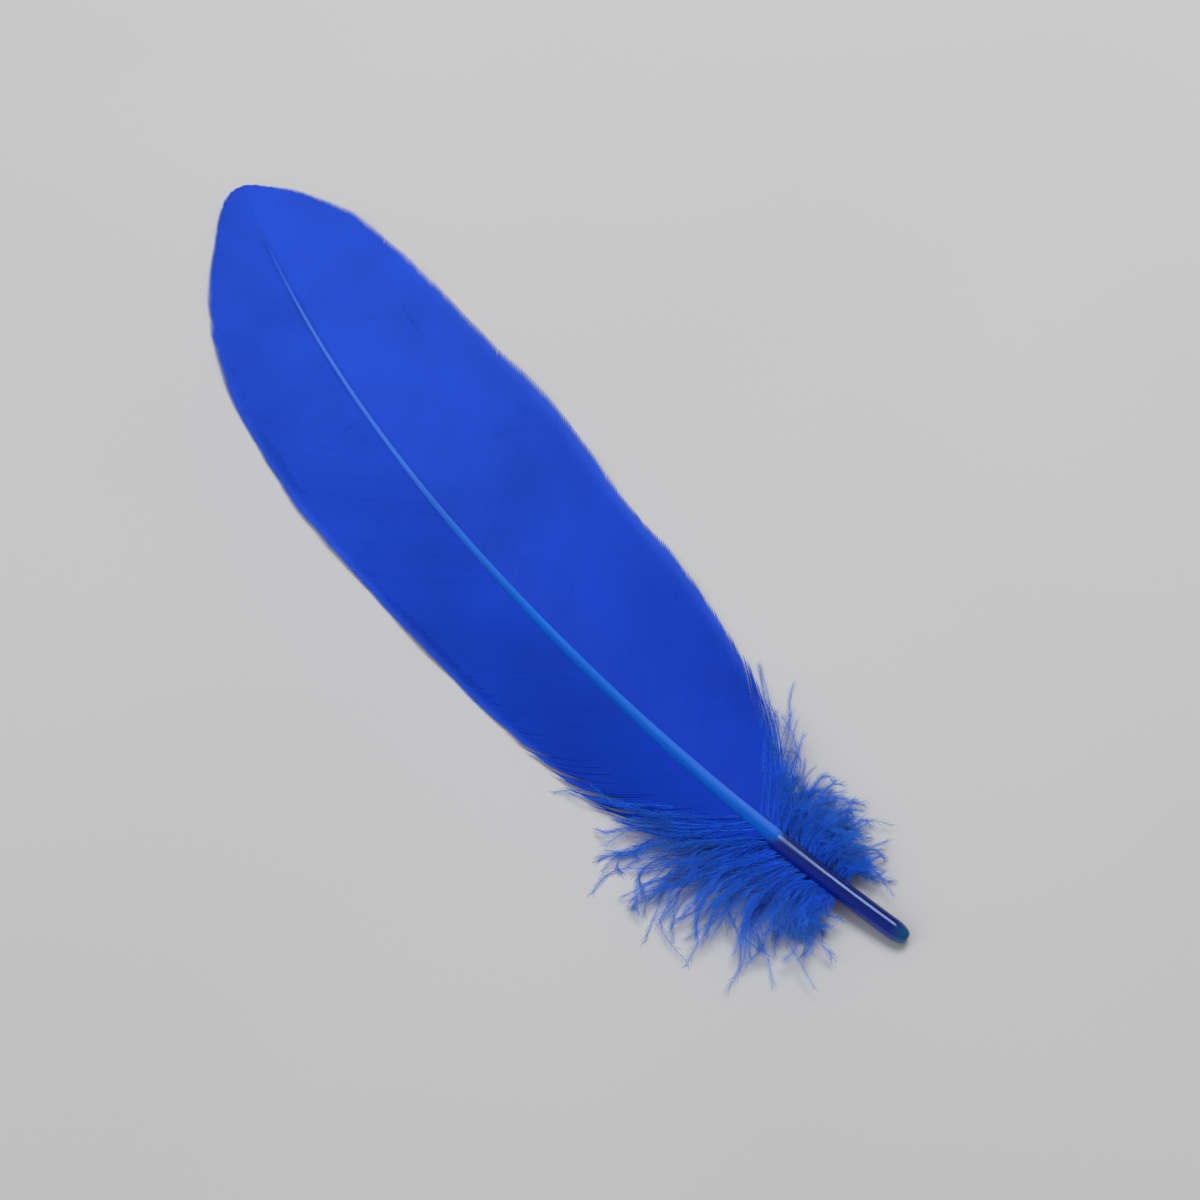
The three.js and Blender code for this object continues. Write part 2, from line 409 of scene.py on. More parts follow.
class MiddleLine:
    """The shaft's middle line. With t the share of the chord, x is a parabola of t, y is even in
    t, and z is a straight slope plus half a sine wave. A table of its length turns a station into
    t."""

    def __init__(self, sizes):
        self.sizes = sizes
        self.shares = np.linspace(0, 1, LINE_SAMPLES)
        points = self.curve(self.shares)
        steps = np.linalg.norm(np.diff(points, axis=0), axis=1)
        self.stations = np.concatenate([[0.0], np.cumsum(steps)])
        self.length = float(self.stations[-1])
        self.origin = np.zeros(3)
        self.origin = self.place_in_frame()

    def curve(self, t):
        """The line's points at shares of the chord, from the quill's end."""
        s = self.sizes
        slope = s.end_height + (s.tip_height - s.end_height) * t
        return np.stack(
            [-4 * s.bow * t * (1 - t), s.chord * t, slope + s.arch * np.sin(np.pi * t)], axis=-1)

    def radius(self, station):
        """The shaft's radius: a quarter circle at the rounded end, then a square law to the vanes'
        start and a power law to the tip."""
        s = self.sizes
        inward = 1 - np.clip(station / QUILL_ROUNDING, 0, 1)
        rounded = QUILL_END_FACE + (1 - QUILL_END_FACE) * np.sqrt(1 - inward**2)
        neck = np.clip((station - QUILL_ROUNDING) / (s.vane_start - QUILL_ROUNDING), 0, 1)
        quill = s.quill_radius * rounded + (s.rachis_radius - s.quill_radius) * neck**2
        t = np.clip((station - s.vane_start) / (self.length - s.vane_start), 0, 1)
        rachis = s.rachis_radius + (s.tip_radius - s.rachis_radius) * t**RACHIS_TAPER
        return np.where(station < s.vane_start, quill, rachis)

    def frames(self, station):
        """The line's point, forward, level sideways and upward directions at each station. Past
        either end the line runs on straight."""
        s = self.sizes
        t = np.interp(station, self.stations, self.shares)
        rise = (s.tip_height - s.end_height) + s.arch * np.pi * np.cos(np.pi * t)
        forward = unit(np.stack([-4 * s.bow * (1 - 2 * t), s.chord + 0 * t, rise], axis=-1))
        side = unit(np.cross(forward, [0.0, 0.0, 1.0]))
        up = np.cross(side, forward)
        run_on = station - np.clip(station, 0, self.length)
        point = self.curve(t) + run_on[..., None] * forward + self.origin
        return point, forward, side, up

    def beside(self, station, offset, height):
        """Points at stations and signed offsets, + to the broad vane, at heights of their own."""
        point, _, side, _ = self.frames(station)
        place = point + side * offset[..., None]
        place[..., 2] = height
        return place

    def place_in_frame(self):
        """The step from this line's own origin to the row frame, so that the box of a shaft swept
        along the line has the same middle as the CAD shaft's box."""
        point, _, side, up = self.frames(self.stations)
        radius = self.radius(self.stations)[:, None]
        skin = np.concatenate([point + way * radius for way in (side, -side, up, -up)])
        low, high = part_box("quill_shaft")
        middle = (np.array(low) + np.array(high)) / 2
        return middle - (skin.min(axis=0) + skin.max(axis=0)) / 2


# ---------------------------------------------------------------- the shaft


def shaft_mesh(line):
    """The shaft: superellipses swept along the middle line, round on the quill and squarer on the
    rachis, with a bell-shaped groove along the rachis's underside, sine ribs along the rachis and
    sine wrinkles around the quill. The sweep starts at the bottom of the small pit in the quill's
    end, comes out to its lip and then runs to the tip. The rachis grows slimmer than in CAD, and
    the last of it sinks under the barbs. The faces over pith, which reaches further towards the
    quill along the top, take the second of two materials."""
    start = line.sizes.vane_start
    even = np.linspace(0, 1, SHAFT_RINGS)
    crowded = even - RING_CROWDING * np.sin(2 * np.pi * even) / (2 * np.pi)
    outer = crowded * (line.length - SHAFT_STOP)
    pit_station, pit_share = np.array(QUILL_PIT).T
    station = np.concatenate([pit_station * MM, outer])[:, None]
    fade = tip_fade(line, station)
    radius = np.concatenate([pit_share * line.sizes.quill_radius, line.radius(outer)])[:, None]
    loss, slim_start, slim_end = RACHIS_SLIMMING
    radius = radius * (1 - loss * smoothstep(slim_start, slim_end, station))
    radius = radius * (1 - TIP_THINNING * fade)

    angle = np.linspace(0, -2 * np.pi, SHAFT_SIDES, endpoint=False)[None, :]
    on_rachis = smoothstep(start - RACHIS_CHANGE, start + RACHIS_CHANGE, station)
    power = 2 / (2 + RACHIS_SQUARENESS * on_rachis)
    across = np.sign(np.cos(angle)) * np.abs(np.cos(angle)) ** power
    upward = np.sign(np.sin(angle)) * np.abs(np.sin(angle)) ** power
    depth, half_width = RACHIS_GROOVE
    groove = depth * on_rachis * np.exp(-(across / half_width) ** 2) * (upward < 0)
    rib_height, ribs, turn = RACHIS_STRIAE
    striae = 1 + rib_height * on_rachis * np.sin(ribs * angle + turn)
    wrinkle_height, wrinkle_length, slant = QUILL_WRINKLES
    wrinkling = np.sin(station / wrinkle_length + slant * np.sin(angle))
    relief = radius * striae * (1 + wrinkle_height * (1 - on_rachis) * wrinkling)
    height = relief * (upward + groove) - TIP_SINKING * fade**2
    point, _, side, up = line.frames(np.broadcast_to(station, relief.shape))
    rings = point + side * (relief * across)[..., None] + up * height[..., None]

    pith_edge = start - PITH_POINT * np.maximum(upward, 0) ** 2
    pith = smoothstep(-PITH_BLEND, PITH_BLEND, station - pith_edge)
    mesh = tubes_to_mesh("quill_and_shaft", (rings[None], {
        "station": station[None], "pith": pith[None], "across": across[None],
    }))
    over_pith = pith[:-1].ravel() > 0.5
    ends = np.repeat([False, True], SHAFT_SIDES - 2)
    finish = np.concatenate([over_pith, ends]).astype(np.int32)
    mesh.polygons.foreach_set("material_index", finish)
    return mesh


def tip_fade(line, station):
    """0 along the shaft, rising smoothly to 1 towards the tip, where the barbs close over it."""
    start, end = TIP_COVER
    return smoothstep(line.length - start, line.length - end, station)


# ---------------------------------------------------------------- the vanes


@dataclass
class Vane:
    """One vane. hand is +1 for the broad side and -1 for the narrow one. edge lists station and
    offset of the free edge, lean the station on the edge and the degrees between shaft and barb,
    and slits the root station, half opening, reach to both sides and the share of the barb where
    the slit starts, for each place where two barbs have come unhooked. Lengths in millimetres."""

    hand: int
    edge: list
    lean: list
    slits: list
    steps: int
    seed: int


NARROW_VANE = Vane(
    hand=-1,
    edge=[
        (22.4, 1.9), (24.5, 4.6), (30, 8.6), (42, 11.4), (62, 12.6), (92, 14.2), (115, 15.8),
        (136, 14.6), (150, 11.3), (160, 7.3), (165, 5.1), (168, 3.3), (169.4, 1.6), (169.75, 0),
    ],
    lean=[(38, 36), (62, 37), (115, 35), (150, 31), (163, 26), (169, 20)],
    slits=[
        (25.8, 0.3, 1.0, 0.35), (28.2, 0.3, 1.2, 0.4), (31.4, 0.34, 1.5, 0.45),
        (34.2, 0.22, 1.4, 0.5), (38.5, 0.2, 1.8, 0.6), (73.5, 0.05, 2.5, 0.85),
        (117, 0.04, 2.5, 0.88),
    ],
    steps=30,
    seed=11,
)
BROAD_VANE = Vane(
    hand=1,
    edge=[
        (22.6, 1.9), (25, 7), (30.5, 13.4), (42, 18.8), (62, 24.1), (84, 26), (103, 27.1),
        (122, 24.6), (140, 21.6), (152, 17.8), (160, 14.4), (164.3, 11.3), (167, 7.2),
        (168.8, 3.4), (169.6, 1.3), (169.75, 0),
    ],
    lean=[(38, 48), (62, 45), (103, 42), (140, 38), (161, 33), (167, 29), (169.3, 24)],
    slits=[
        (24.6, 0.16, 1.0, 0.5), (27.4, 0.14, 1.3, 0.6), (33, 0.08, 1.6, 0.75), (58, 0.05, 3, 0.9),
        (89, 0.05, 3.5, 0.88), (124.5, 0.06, 3.5, 0.85), (141, 0.04, 2.5, 0.88),
    ],
    steps=36,
    seed=23,
)
# A barb's section: place across and height, as shares of its half width and of the part's height.
# Heights count the ridge above 0 and the keel below it.
BARB_SECTION = [(1, 0), (0.3, 1), (-0.3, 1), (-1, 0), (-0.3, -1), (0.3, -1)]
BARB_SHARP = (0, 3)

# Faint painted shade across the barbs, where they are bent: station, offset (+ on the broad vane),
# half length, half width
CREASES = [
    (131.2, 9.7, 0.45, 4.4), (99.8, 16.8, 0.45, 5.2), (111, -3.1, 0.5, 2.8), (129, 15.2, 7, 0.5),
]


def vane_height(line, edge, station, offset):
    """Height of a vane's web: it starts a little above the shaft's middle, falls with a power of
    its share of the width, and eases onto the table at the rim along a hyperbola. At the tip the
    width keeps a least value, so that both vanes close there in one nearly flat sheet. Low waves
    of about 20 mm run through it. Returns the height and the share of the width."""
    width = np.interp(np.maximum(station, FOOT_END), edge[:, 0], edge[:, 1])
    share = np.clip(offset / np.maximum(width, LEAST_DROOP_WIDTH), 0, WIDEST_SHARE)
    point, _, _, _ = line.frames(station)
    seat = point[..., 2] + VANE_SEAT * line.radius(station) - VANE_THICKNESS / 2
    fall = seat * (1 - (share / RIM_START) ** CROSS_CURVE)
    eased = (fall + np.sqrt(fall**2 + RIM_EASE**2)) / 2
    first, second, third = (
        np.sin(station / (along * MM) + offset / (across * MM) + start)
        for along, across, start in WEB_WAVES)
    waves = WEB_WAVE * (first * second + third) * share * (WIDEST_SHARE - share)
    above = VANE_THICKNESS / 2 - (VANE_THICKNESS / 2 - RIM_REST) * np.minimum(share, 1) ** 2
    return eased + above + waves, share


def barb_net(line, vane, sizes):
    """Where the barbs run. Each barb is a quadratic curve in station and offset from its root to
    the edge, and its middle point is pushed out towards the foot. An edge point's root lies its
    offset over the tangent of the lean further down the shaft. The roots sit on the shaft's flank,
    and towards the tip they cross its middle line, so that the two vanes close over it. Returns
    stations and offsets by barb and step, the edge and the roots."""
    edge = smooth_curve(vane.edge, EDGE_SAMPLES) * MM
    lean_station, lean_degrees = np.array(vane.lean).T
    lean = np.radians(np.interp(edge[:, 0], lean_station * MM, lean_degrees))
    root_of_edge = np.maximum.accumulate(edge[:, 0] - edge[:, 1] / np.tan(lean))
    first = line.sizes.vane_start + FIRST_BARB
    roots = np.arange(first, root_of_edge[-1], sizes.spacing)
    samples = np.arange(EDGE_SAMPLES)
    place = np.interp(roots, root_of_edge, samples)
    closing = np.minimum(2 * tip_fade(line, roots), 1)
    root_offset = (ROOT_SEAT - ROOT_CLOSING * closing) * line.radius(roots)
    start = np.stack([roots, root_offset], axis=-1)
    end = np.stack([np.interp(place, samples, edge[:, i]) for i in (0, 1)], axis=-1)
    chord = end - start
    outward = np.stack([-chord[:, 1], chord[:, 0]], axis=-1)
    bend_station, bend = np.array(BARB_BEND).T
    bend = np.interp(roots, bend_station * MM, bend)
    middle = (start + end) / 2 + outward * bend[:, None]
    q = np.linspace(0, 1, vane.steps)[None, :, None]
    net = (1 - q) ** 2 * start[:, None] + 2 * q * (1 - q) * middle[:, None] + q**2 * end[:, None]
    return net[..., 0], net[..., 1], edge, roots


def vane_mesh(line, vane, sizes, name):
    """A vane: each barb is a thin closed ribbon with a low ridge on top and a keel below. A ribbon
    is wider than the distance to its neighbours, so that together they look like one sheet. The
    rim waves as the sine of an unevenly growing length. A slit pushes the barbs beside it apart,
    which dies away exponentially to both sides. Random amounts, some of them smoothed from barb to
    barb, shift, lift and shorten the barbs, more so towards their ends. The barbs of the foot
    stray most and are narrower."""
    rng = np.random.default_rng(vane.seed)
    station, offset, edge, roots = barb_net(line, vane, sizes)
    barbs, steps = station.shape
    q = np.linspace(0, 1, steps)[None, :]
    foot = np.exp(-(roots - roots[0]) / FOOT_REACH)[:, None]

    height, share = vane_height(line, edge, station, offset)
    wave_length, unevenness, uneven_length = RIM_WAVES
    uneven = roots / wave_length + unevenness * np.sin(roots / uneven_length)
    rim_wave = 0.5 + 0.5 * np.sin(uneven)[:, None]
    web = line.beside(station, vane.hand * offset, height + sizes.wave * rim_wave * share**3)
    along = unit(np.gradient(web, axis=1))
    to_next = np.gradient(web, axis=0)
    normal = unit(np.cross(along, to_next)) * vane.hand
    sideways = np.cross(normal, along) * vane.hand
    gap = np.sum(to_next * sideways, axis=-1)
    reach = np.linalg.norm(web[:, -1] - web[:, 0], axis=-1)[:, None]

    shift = np.zeros_like(station)
    for root, opening, width, start in vane.slits:
        away = roots[:, None] - root * MM
        strength = np.exp(-np.abs(away) / (width * MM)) * smoothstep(start, 1.0, q) ** SLIT_CURVE
        shift += np.sign(away) * strength * opening * MM
    in_web, at_foot, together = CLUMPING
    clumping = in_web * smoothstep(*CLUMPED_END, q)
    clumping = clumping + at_foot * foot * smoothstep(*CLUMPED_FOOT, q)
    shift += slow_noise(rng, barbs, together)[:, None] * clumping
    shift += rng.standard_normal((barbs, 1)) * STRAYING * foot * q**2
    in_web, at_foot = LIFTING
    lift = rng.standard_normal((barbs, 1)) * (in_web * q + at_foot * foot * q**2)
    billow, together = BILLOWS
    billows = billow * slow_noise(rng, barbs, together)[:, None]
    lift += billows * np.sin(np.pi * np.clip(share, 0, 1))
    in_web, at_foot = SHORTENING
    short = np.abs(rng.standard_normal((barbs, 1))) * (in_web + at_foot * foot)
    ragged, together = RAGGEDNESS
    short += ragged * reach * np.maximum(0, slow_noise(rng, barbs, together))[:, None]
    web = web + sideways * shift[..., None] + normal * lift[..., None]
    web = web - along * (short * q**3)[..., None]

    loss, taper_start = BARB_TAPER
    taper = 1 - loss * smoothstep(taper_start, 1.0, q) * np.ones((barbs, 1))
    loss, start, end = FOOT_NARROWING
    half = gap * (BARB_HALF_WIDTH - loss * foot * smoothstep(start, end, q)) * taper
    stem = (1 - BARB_THINNING * q) * taper
    tilt = BARB_TILT[0] * half + BARB_TILT[1]
    parts = []
    for across, rise in BARB_SECTION[::vane.hand]:
        tall = sizes.ridge * stem * max(rise, 0) + sizes.keel * stem * min(rise, 0)
        parts.append(web + sideways * (across * half)[..., None]
                     + normal * (tall + across * tilt)[..., None])
    rings = np.stack(parts, axis=2)
    rings[..., 2] = np.maximum(rings[..., 2], FLOOR_GAP)

    own, shared, together = BARB_TONES
    tone = shared * slow_noise(rng, barbs, together) + own * rng.standard_normal(barbs)
    # Where the painted shadow of the raised shaft lies beside it, in the vane's outer half.
    groove = smoothstep(*SHAFT_SHADOW_STATIONS, station) * (1 - tip_fade(line, station))
    column = np.linspace(-0.5, 0.5, len(BARB_SECTION))
    return tubes_to_mesh(name, (rings, {
        "station": station[..., None],
        "offset": vane.hand * offset[..., None],
        "share": share[..., None],
        "tone": tone[:, None, None],
        "foot": (foot * q)[..., None],
        "groove": groove[..., None],
        "u": (np.arange(barbs)[:, None, None] + 0.5 + BAKE_STRIP * column) / barbs,
        "v": q[..., None] * np.ones((barbs, 1, 1)),
    }), sharp_corners=BARB_SHARP)


# ---------------------------------------------------------------- the down


@dataclass
class Tuft:
    """Some down on one side of the shaft. Each list gives, in millimetres, station, offset and
    height of a guide curve of each kind: where the barbs leave the shaft, two curves that pull them
    on their way, and where they end. The barbs are spread evenly along the guides. node is the CAD
    node that the tuft stands for, in part, and barbules how many each barb has."""

    name: str
    node: str
    hand: int
    roots: list
    first_pull: list
    second_pull: list
    tips: list
    barbs: int
    barbules: int
    seed: int


TUFTS = [
    Tuft(
        name="down_left_upper", node="down_left", hand=-1,
        roots=[(10.5, 0.8, 1.8), (14, 0.9, 2.4), (18, 0.9, 2.8), (21.5, 0.9, 3.0)],
        first_pull=[(11, 3.5, 3.2), (16, 5, 3.6), (21, 6, 3.2), (25.5, 6, 2.2)],
        second_pull=[(9.5, 6.5, 3.0), (15.5, 11, 3.4), (24, 14, 2.8), (32, 14, 1.5)],
        tips=[(6.5, 6, 0.8), (9.5, 14, 1.0), (17.5, 20.5, 1.0), (29, 21.5, 0.7)],
        barbs=52, barbules=95, seed=31,
    ),
    Tuft(
        name="down_left_under", node="down_left", hand=-1,
        roots=[(12, 0.9, 1.2), (16, 0.9, 1.7), (20, 0.9, 2.1), (24, 1.0, 2.4)],
        first_pull=[(13, 4, 1.4), (20, 6, 1.6), (26, 7, 1.5), (32, 8, 1.0)],
        second_pull=[(11, 8, 0.8), (19, 13, 1.0), (29, 14, 0.8), (38, 13, 0.6)],
        tips=[(7.5, 8.5, 0.3), (13, 16.5, 0.3), (23, 21.5, 0.3), (35, 18.5, 0.3)],
        barbs=52, barbules=90, seed=37,
    ),
    Tuft(
        name="loose_barbs_left", node="narrow_vane", hand=-1,
        roots=[(20.5, 0.9, 3.2), (22, 1.0, 3.6), (24, 1.0, 4.0), (26, 1.0, 4.3)],
        first_pull=[(23, 4, 3.0), (26, 5, 3.4), (29, 5.5, 3.6), (32, 6, 3.6)],
        second_pull=[(25, 9, 1.7), (30, 10, 1.8), (36, 10.5, 1.7), (42, 10.5, 1.4)],
        tips=[(25, 15, 0.5), (32, 15, 0.5), (40, 14, 0.4), (49, 13.2, 0.4)],
        barbs=28, barbules=80, seed=53,
    ),
    Tuft(
        name="down_right_upper", node="down_right", hand=1,
        roots=[(10.5, 0.8, 1.8), (14, 0.9, 2.3), (17.5, 0.9, 2.7), (21, 0.9, 2.9)],
        first_pull=[(11.5, 3, 2.8), (15.5, 3.8, 3.2), (19.5, 4.5, 3.2), (23.5, 5, 2.4)],
        second_pull=[(10, 4.8, 2.2), (14, 7, 2.8), (19, 8.8, 2.6), (24.5, 9.6, 1.6)],
        tips=[(7, 4.5, 0.7), (9.5, 8.5, 0.9), (14, 11.3, 0.9), (20.5, 12.8, 0.7)],
        barbs=40, barbules=95, seed=41,
    ),
    Tuft(
        name="down_right_under", node="down_right", hand=1,
        roots=[(11.5, 0.9, 1.2), (15.5, 0.9, 1.7), (19.5, 0.9, 2.1), (23, 1.0, 2.4)],
        first_pull=[(13, 3.2, 1.4), (17.5, 4.5, 1.6), (22, 5.5, 1.6), (26, 6, 1.2)],
        second_pull=[(10.5, 5.5, 0.8), (15, 8, 1.0), (20.5, 9.5, 0.9), (27, 10, 0.7)],
        tips=[(7.5, 5.5, 0.3), (11, 9.5, 0.3), (17, 12.5, 0.3), (25.5, 12.8, 0.3)],
        barbs=40, barbules=90, seed=43,
    ),
    Tuft(
        name="loose_barbs_right", node="broad_vane", hand=1,
        roots=[(20.5, 0.9, 3.2), (21.5, 1.0, 3.5), (22.5, 1.0, 3.8), (24, 1.0, 4.1)],
        first_pull=[(23, 4, 3.3), (24.5, 5, 3.6), (26, 6, 3.8), (28.5, 7, 3.7)],
        second_pull=[(24, 8, 2.3), (27, 10, 2.4), (31, 12.5, 2.2), (35.5, 15, 1.7)],
        tips=[(24.5, 13, 0.7), (29.5, 15.8, 0.7), (36, 18.5, 0.6), (44, 21.5, 0.5)],
        barbs=28, barbules=80, seed=59,
    ),
]


def down_stems(line, tuft, rng):
    """Where the down barbs run: cubic curves from root to tip, whose four guide points are taken
    from the tuft's guide curves and then strayed a little. The nearer to the tip, the more the
    points of a clump are drawn to its middle. Waves that grow towards the tip are added, and each
    barb stops at a length of its own. One that would reach out past the tips' guide is narrowed to
    it."""
    count = tuft.barbs
    share = (np.arange(count) + rng.uniform(*DOWN_PLACES, count)) / count
    clumps = count / DOWN_CLUMP
    to_middle = (np.floor(share * clumps) + 0.5) / clumps - share
    along = np.linspace(0, 1, GUIDE_SAMPLES)
    guides = []
    for kind, drawn, spread in DOWN_GUIDES:
        table = smooth_curve(getattr(tuft, kind), GUIDE_SAMPLES)
        own_share = share + drawn * to_middle
        places = np.stack([np.interp(own_share, along, axis) for axis in table.T], axis=-1)
        stray = rng.standard_normal(places.shape) * spread * np.array(DOWN_SPREAD_SHARES)
        guides.append(places + stray)
    t = np.linspace(0, 1, DOWN_STEM_STEPS)[None] * rng.uniform(*DOWN_LENGTHS, (count, 1))
    a, b, c, d = (g[:, None] for g in guides)
    u = t[..., None]
    path = (1 - u) ** 3 * a + 3 * u * (1 - u) ** 2 * b + 3 * u**2 * (1 - u) * c + u**3 * d
    waves = rng.uniform(*DOWN_WAVES, (3, count, 1))
    phases = rng.uniform(0, 2 * np.pi, (3, count, 1))
    size = np.array(DOWN_WAVE_SIZE)[:, None, None]
    swing = np.sin(2 * np.pi * waves * t[None] + phases) * t * size
    station, offset, height = np.moveaxis(path, -1, 0) + swing
    farthest = max(tip[1] for tip in tuft.tips)
    offset = offset * np.minimum(1, farthest / offset.max(axis=1, keepdims=True))
    least_offset, least_height = DOWN_LEAST
    offset, height = np.maximum(offset, least_offset), np.maximum(height, least_height)
    return line.beside(station * MM, tuft.hand * offset * MM, height * MM)


def tube_rings(paths, radii, sides):
    """Round tubes of the given radii along paths of tube, step and x, y, z."""
    forward = unit(np.gradient(paths, axis=1))
    across = unit(np.cross(forward, NEARLY_UP))
    upward = np.cross(forward, across)
    angle = np.linspace(0, 2 * np.pi, sides, endpoint=False)[None, None, :, None]
    circle = across[:, :, None] * np.cos(angle) + upward[:, :, None] * np.sin(angle)
    return paths[:, :, None] + circle * radii[..., None, None]


def down_barbules(stems, tuft, reach, rng):
    """Barbules on both sides of each stem. Each leaves the stem at an angle, in a plane turned at
    random about the stem, and bends back to it along a parabola, more on some barbs than on
    others. Their lengths follow half a sine wave of a power of the way along the stem, so that the
    longest stand near its middle. Returns paths and each one's share of the way along its stem."""
    barbs, steps, _ = stems.shape
    count = tuft.barbules
    spaced = (np.arange(count)[None] + rng.uniform(0, 1, (barbs, count))) / count
    share = BARE_STEM + (1 - BARE_STEM) * spaced
    place = share * (steps - 1)
    low = np.minimum(place.astype(int), steps - 2)
    part = (place - low)[..., None]
    row = np.arange(barbs)[:, None]
    base = stems[row, low] * (1 - part) + stems[row, low + 1] * part
    tangent = unit(np.gradient(stems, axis=1))
    forward = unit(tangent[row, low] * (1 - part) + tangent[row, low + 1] * part)
    side = unit(np.cross(forward, NEARLY_UP))
    upward = np.cross(side, forward)
    hand = np.where(np.arange(count)[None] % 2, 1.0, -1.0)
    roll = rng.normal(0.0, BARBULE_ROLL, (barbs, count))
    open_out = rng.uniform(*BARBULE_OPENING, (barbs, 1))
    angle = np.radians(rng.normal(*BARBULE_ANGLE, (barbs, count))) * open_out
    out = side * (hand * np.cos(roll))[..., None] + upward * np.sin(roll)[..., None]
    leave = forward * np.cos(angle)[..., None] + out * np.sin(angle)[..., None]
    crown = np.sin(np.pi * share**BARBULE_CROWN)
    long = reach * (BARBULE_SHORTEST + (1 - BARBULE_SHORTEST) * crown)
    long = long * rng.uniform(*BARBULE_LENGTHS, (barbs, count))
    cling = rng.uniform(*BARBULE_CLING, (barbs, 1))[..., None, None]
    t = np.linspace(0, 1, BARBULE_STEPS)[None, None, :, None]
    path = leave[:, :, None] * t + (forward - leave)[:, :, None] * cling * t**2
    path = base[:, :, None] + path * long[..., None, None]
    path[..., 2] = np.maximum(path[..., 2], BARBULE_FLOOR)
    return path.reshape(-1, BARBULE_STEPS, 3), share.reshape(-1)


def down_mesh(line, tuft, sizes):
    """Some down: thin tapering stems with hair-thin barbules along both sides. The tip attribute
    grows to 1 at the ends, which look palest, and a barb's barbules have one tone."""
    rng = np.random.default_rng(tuft.seed)
    stems = down_stems(line, tuft, rng)
    barbules, share = down_barbules(stems, tuft, sizes.barbule, rng)
    along = np.linspace(0, 1, DOWN_STEM_STEPS)[None]
    hair = np.linspace(0, 1, BARBULE_STEPS)[None]
    stem_tone = rng.standard_normal(tuft.barbs)
    hair_tone = np.repeat(rng.standard_normal(tuft.barbs), tuft.barbules)
    stem_radius = sizes.stem_radius * (1 - DOWN_THINNING * along)
    hair_radius = sizes.barbule_radius * (1 - BARBULE_THINNING * hair)
    hair_tip = share[:, None] * (0.5 + 0.5 * hair)
    groups = []
    for paths, sides, radius, tip, tone in (
        (stems, DOWN_STEM_SIDES, stem_radius, STEM_PALENESS * along, stem_tone),
        (barbules, BARBULE_SIDES, hair_radius, hair_tip, hair_tone),
    ):
        tubes = len(paths)
        column = np.arange(sides) / sides
        groups.append((tube_rings(paths, radius * np.ones((tubes, 1)), sides), {
            "tip": tip[..., None], "tone": tone[:, None, None],
            "u": (np.arange(tubes)[:, None, None] + column) / tubes,
            "v": tip[..., None] + 0 * column,
        }))
    return tubes_to_mesh(tuft.name, *groups)


# ---------------------------------------------------------------- materials


def new_material(name):
    """An empty node material. Returns the material and its node tree."""
    material = bpy.data.materials.new(name)
    material.use_nodes = True
    material.node_tree.nodes.clear()
    return material, material.node_tree


ATTRIBUTE, MAP, MIX = "ShaderNodeAttribute", "ShaderNodeMapRange", "ShaderNodeMix"
MATHS, VECTOR_MATHS = "ShaderNodeMath", "ShaderNodeVectorMath"
COORDINATES, COMBINE = "ShaderNodeTexCoord", "ShaderNodeCombineXYZ"
NOISE, BRIGHTNESS = "ShaderNodeTexNoise", "ShaderNodeHueSaturation"
SHADER, SURFACE = "ShaderNodeBsdfPrincipled", "ShaderNodeOutputMaterial"
NUMBER = {"output": "Fac"}
S_CURVE = {"interpolation_type": "SMOOTHSTEP"}
COLOURS = {"data_type": "RGBA", "output": 2}
NOISE_RANGE = {"From Min": 0.3, "From Max": 0.7}


def cloudiness(tree, place, size, darkest, brightest, detail=2.0):
    """Soft clouds of a size in metres: noise, whose middle range is spread along an S curve from
    the darkest to the brightest value."""
    noise = add_node(tree, NOISE, {"Vector": place, "Scale": 1 / size, "Detail": detail})
    spread = {"Value": noise, **NOISE_RANGE, "To Min": darkest, "To Max": brightest}
    return add_node(tree, MAP, spread, **S_CURVE)


def finish_surface(tree, base, value, look):
    """Ends a material: its base colour is brightened or darkened by value, and look holds the
    shader's other sockets."""
    base = add_node(tree, BRIGHTNESS, {"Value": value, "Color": base})
    shader = add_node(tree, SHADER, {"Base Color": base, **look})
    add_node(tree, SURFACE, {"Surface": shader})


def painted_crease_shade(tree, station, offset):
    """Faint painted shade across the barbs, where a bend has creased them: spots stretched to thin
    ellipses. Each is 1 in its middle and falls along an S curve to 0 at its outline, and all are
    added up."""
    place = add_node(tree, COMBINE, {"X": station, "Y": offset})
    crease_shade = 0.0
    for along, across, half_length, half_width in CREASES:
        centre = (along * MM, across * MM, 0.0)
        stretch = (1 / (half_length * MM), 1 / (half_width * MM), 1.0)
        centred = add_node(tree, VECTOR_MATHS, {0: place, 1: centre}, operation="SUBTRACT")
        relative = add_node(tree, VECTOR_MATHS, {0: centred, 1: stretch}, operation="MULTIPLY")
        distance = add_node(tree, VECTOR_MATHS, {0: relative}, output="Value", operation="LENGTH")
        spot = add_node(tree, MAP, {"Value": distance, "From Min": 1.0, "From Max": 0.0}, **S_CURVE)
        crease_shade = add_node(tree, MATHS, {0: spot, 1: crease_shade}, operation="ADD")
    return crease_shade


